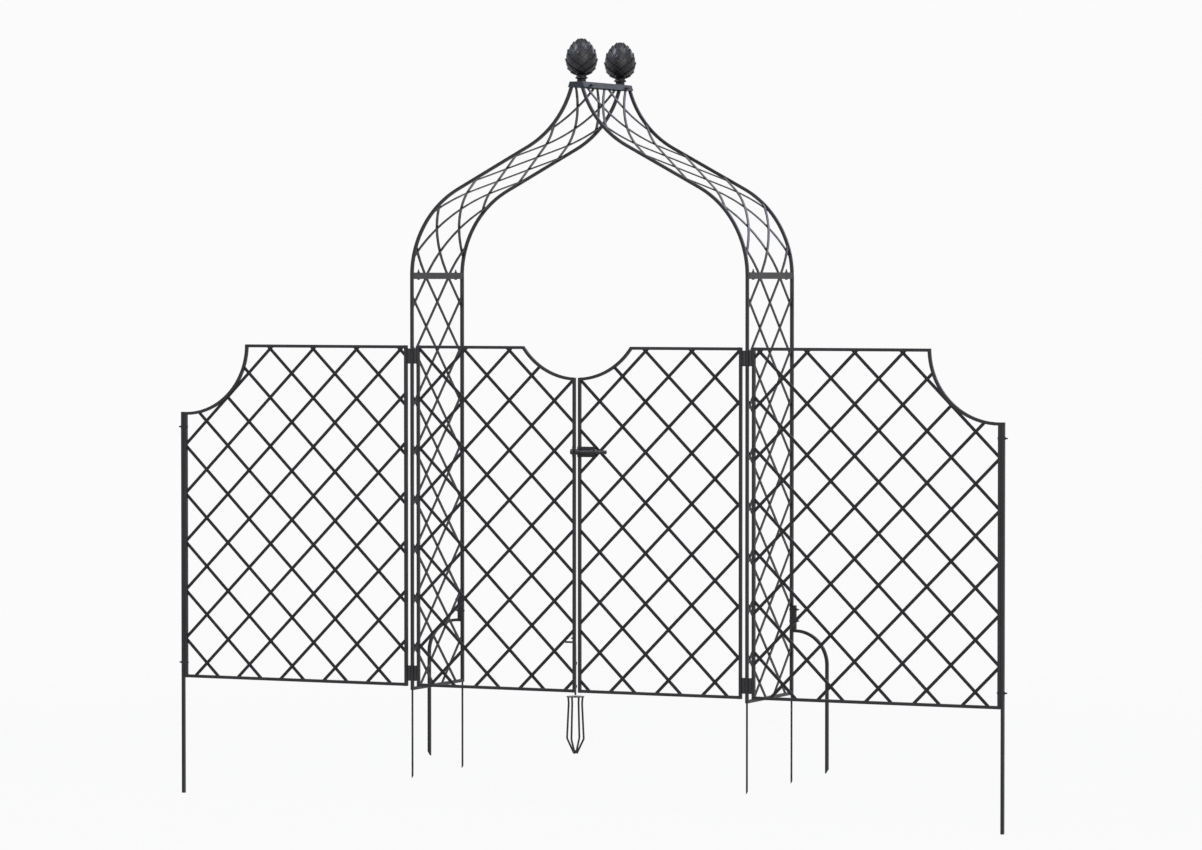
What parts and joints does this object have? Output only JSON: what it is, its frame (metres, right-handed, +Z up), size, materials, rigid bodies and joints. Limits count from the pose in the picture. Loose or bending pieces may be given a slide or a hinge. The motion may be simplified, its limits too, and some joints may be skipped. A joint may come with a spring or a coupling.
{
  "type": "garden arch with gate",
  "caption": "Ogee garden arch in dark painted steel with diagonal lattice, a double gate, two side panels and pine cone finials.",
  "frame": {"origin": "at ground level in the middle of the gateway, in the middle plane of the gate", "axes": "+X across the gateway to the right as seen from the front, +Y from the gate to the back of the arch, +Z up"},
  "size_m": [3.706, 0.5107, 3.1372],
  "materials": {
    "frame_steel": "satin",
    "lattice_steel": "satin",
    "cap_steel": "satin",
    "finial_casting": "painted satin",
    "fastener_steel": "satin"
  },
  "bodies": {
    "arch": {"front_left_post": "frame_steel", "front_right_post": "frame_steel", "rear_left_post": "frame_steel", "rear_right_post": "frame_steel", "post_spikes": "frame_steel", "left_side_bars": "frame_steel", "right_side_bars": "frame_steel", "upper_joint_bars": "frame_steel", "left_front_ogee_bar": "frame_steel", "left_rear_ogee_bar": "frame_steel", "right_front_ogee_bar": "frame_steel", "right_rear_ogee_bar": "frame_steel", "ridge_bars": "frame_steel", "ridge_cap": "cap_steel", "front_finial": "finial_casting", "rear_finial": "finial_casting", "finial_nuts": "fastener_steel", "joint_bolts": "fastener_steel", "ridge_bolts": "fastener_steel", "wing_bolts": "fastener_steel", "brace_bolts": "fastener_steel", "hex_nuts": "fastener_steel", "spacer_washers": "fastener_steel", "left_ground_brace": "frame_steel", "left_end_post": "frame_steel", "left_wing_stiles": "frame_steel", "left_wing_rails": "frame_steel", "left_wing_lattice": "lattice_steel", "left_side_lattice": "lattice_steel", "left_ogee_lattice": "lattice_steel", "left_gate_pintles": "frame_steel", "left_wing_pintles": "frame_steel", "left_wing_hinge_eyes": "frame_steel", "right_ground_brace": "frame_steel", "right_end_post": "frame_steel", "right_wing_stiles": "frame_steel", "right_wing_rails": "frame_steel", "right_wing_lattice": "lattice_steel", "right_side_lattice": "lattice_steel", "right_ogee_lattice": "lattice_steel", "right_gate_pintles": "frame_steel", "right_wing_pintles": "frame_steel", "right_wing_hinge_eyes": "frame_steel", "ground_socket": "frame_steel"},
    "left_leaf": {"left_leaf_stiles": "frame_steel", "left_leaf_rails": "frame_steel", "left_leaf_hinge_eyes": "frame_steel", "left_leaf_lattice": "lattice_steel", "latch_keeper": "frame_steel", "drop_bolt_guides": "frame_steel"},
    "right_leaf": {"right_leaf_stiles": "frame_steel", "right_leaf_rails": "frame_steel", "right_leaf_hinge_eyes": "frame_steel", "right_leaf_lattice": "lattice_steel", "latch_plate": "frame_steel"},
    "latch_bolt": {"latch_bolt": "frame_steel"},
    "drop_bolt": {"drop_bolt": "frame_steel"}
  },
  "joints": [
    {"name": "left_leaf_hinge", "type": "hinge", "parent": "arch", "child": "left_leaf", "pos_m": [-0.7358, 0, 0.7], "axis": [0, 0, 1], "range_deg": [-100, 88]},
    {"name": "right_leaf_hinge", "type": "hinge", "parent": "arch", "child": "right_leaf", "pos_m": [0.7358, 0, 0.7], "axis": [0, 0, 1], "range_deg": [-88, 100]},
    {"name": "latch_slide", "type": "slide", "parent": "right_leaf", "child": "latch_bolt", "axis": [-1, 0, 0], "range_m": [0, 0.026]},
    {"name": "drop_slide", "type": "slide", "parent": "left_leaf", "child": "drop_bolt", "axis": [0, 0, -1], "range_m": [0, 0.052]}
  ]
}
